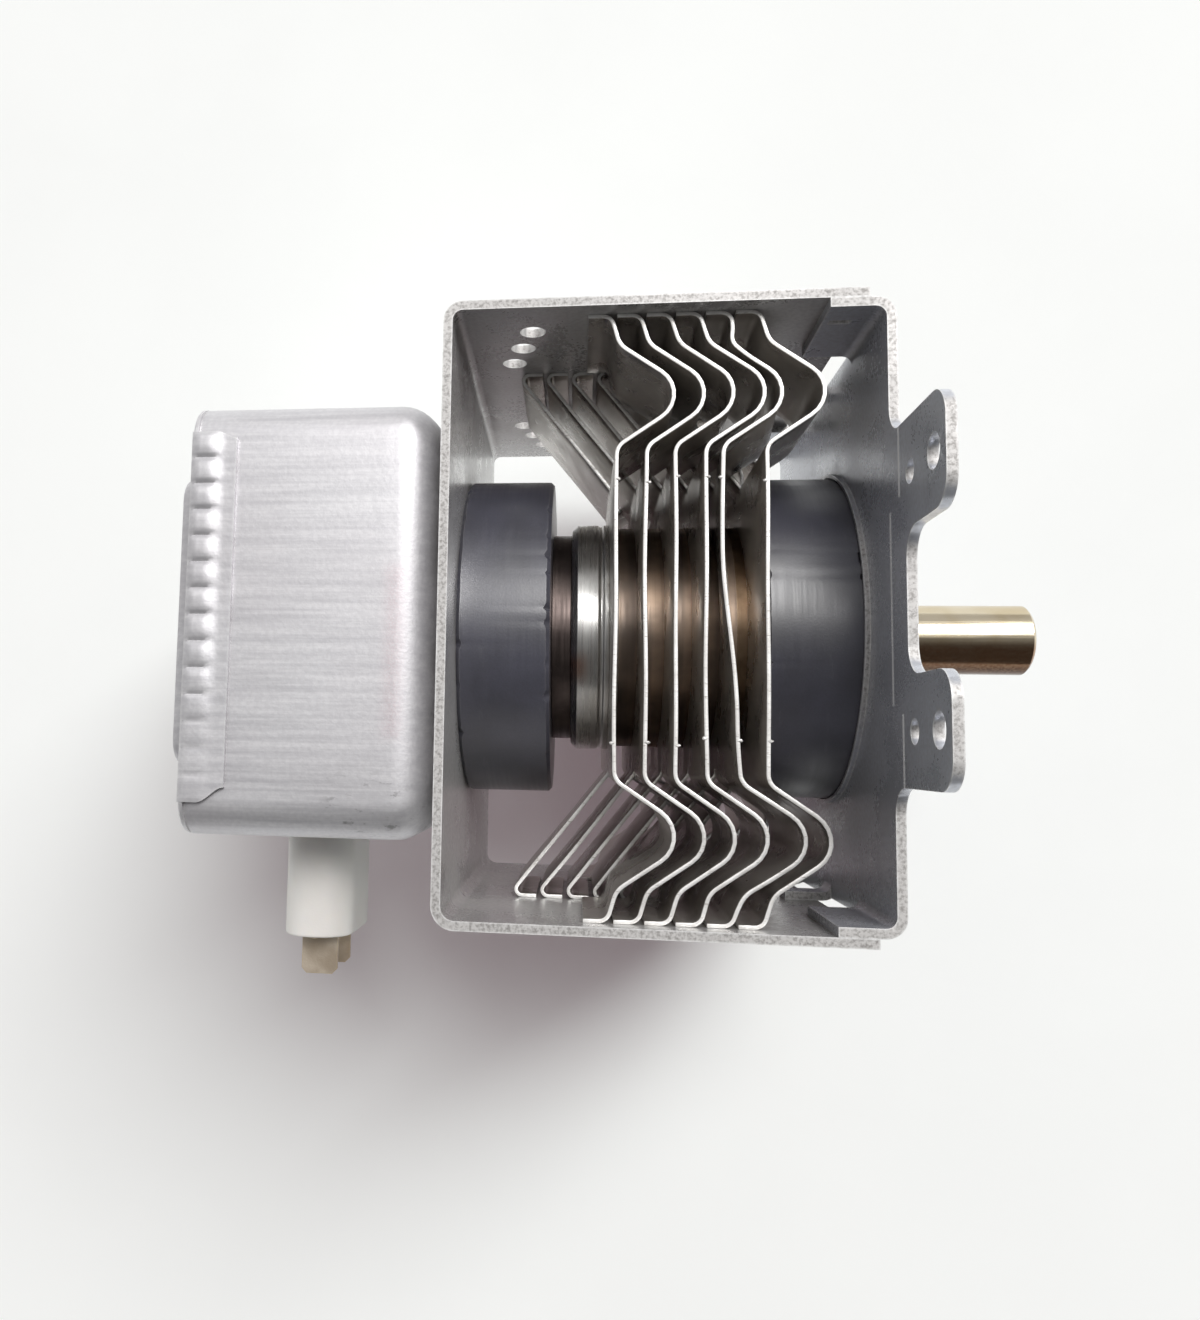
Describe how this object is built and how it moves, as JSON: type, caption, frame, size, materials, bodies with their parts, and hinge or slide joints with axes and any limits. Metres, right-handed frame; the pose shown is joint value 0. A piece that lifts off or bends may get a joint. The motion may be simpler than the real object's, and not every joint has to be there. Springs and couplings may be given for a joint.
{
  "type": "oven magnetron",
  "caption": "Air-cooled oven magnetron: bent steel yoke, ferrite ring magnets, winged fins on the anode tube, crimped filter box and a plated antenna cap.",
  "frame": {"origin": "on the tube's axis, in the outer face of the mounting plate, at the middle of the four bolt holes", "axes": "+X along the tube towards the antenna tip, Y across the yoke's two long walls with the supply terminals at -Y, Z along the cooling air"},
  "size_m": [0.1405, 0.106, 0.1206],
  "materials": {
    "zinc_steel": "satin zinc-plated sheet",
    "ferrite": "matt ground ferrite",
    "copper": "drawn copper",
    "iron": "bare iron",
    "dark_steel": "heat-darkened",
    "bright_steel": "polished",
    "tungsten": "drawn wire",
    "alumina": "fired",
    "enamelled_wire": "enamel over copper",
    "fin_aluminium": "rolled sheet",
    "aluminised_sheet": "satin",
    "cream_plastic": "moulded",
    "tinned_brass": "tinned",
    "plated_cap": "polished nickel",
    "wire_mesh": "knitted wire"
  },
  "bodies": {
    "root": {"yoke_frame": "zinc_steel", "mounting_plate": "zinc_steel", "cathode_side_magnet": "ferrite", "antenna_side_magnet": "ferrite", "cooling_fin_1": "fin_aluminium", "cooling_fin_2": "fin_aluminium", "cooling_fin_3": "fin_aluminium", "cooling_fin_4": "fin_aluminium", "cooling_fin_5": "fin_aluminium", "cooling_fin_6": "fin_aluminium", "anode_block": "copper", "inner_strap_ring": "copper", "outer_strap_ring": "copper", "cathode_side_pole_piece": "iron", "antenna_side_pole_piece": "iron", "cathode_side_cup": "bright_steel", "cup_spacer": "dark_steel", "antenna_side_cup": "bright_steel", "filament": "tungsten", "upper_end_hat": "tungsten", "lower_end_hat": "tungsten", "centre_lead": "tungsten", "side_lead": "tungsten", "stem_ceramic": "alumina", "choke_coil_front": "enamelled_wire", "choke_coil_back": "enamelled_wire", "choke_core_front": "ferrite", "choke_core_back": "ferrite", "filter_case": "aluminised_sheet", "filter_lid": "aluminised_sheet", "capacitor_body": "cream_plastic", "supply_terminal_front": "tinned_brass", "supply_terminal_back": "tinned_brass", "antenna_ceramic": "alumina", "antenna_lead": "copper", "exhaust_tube": "copper", "antenna_cap": "plated_cap", "rf_gasket": "wire_mesh"}
  },
  "joints": []
}
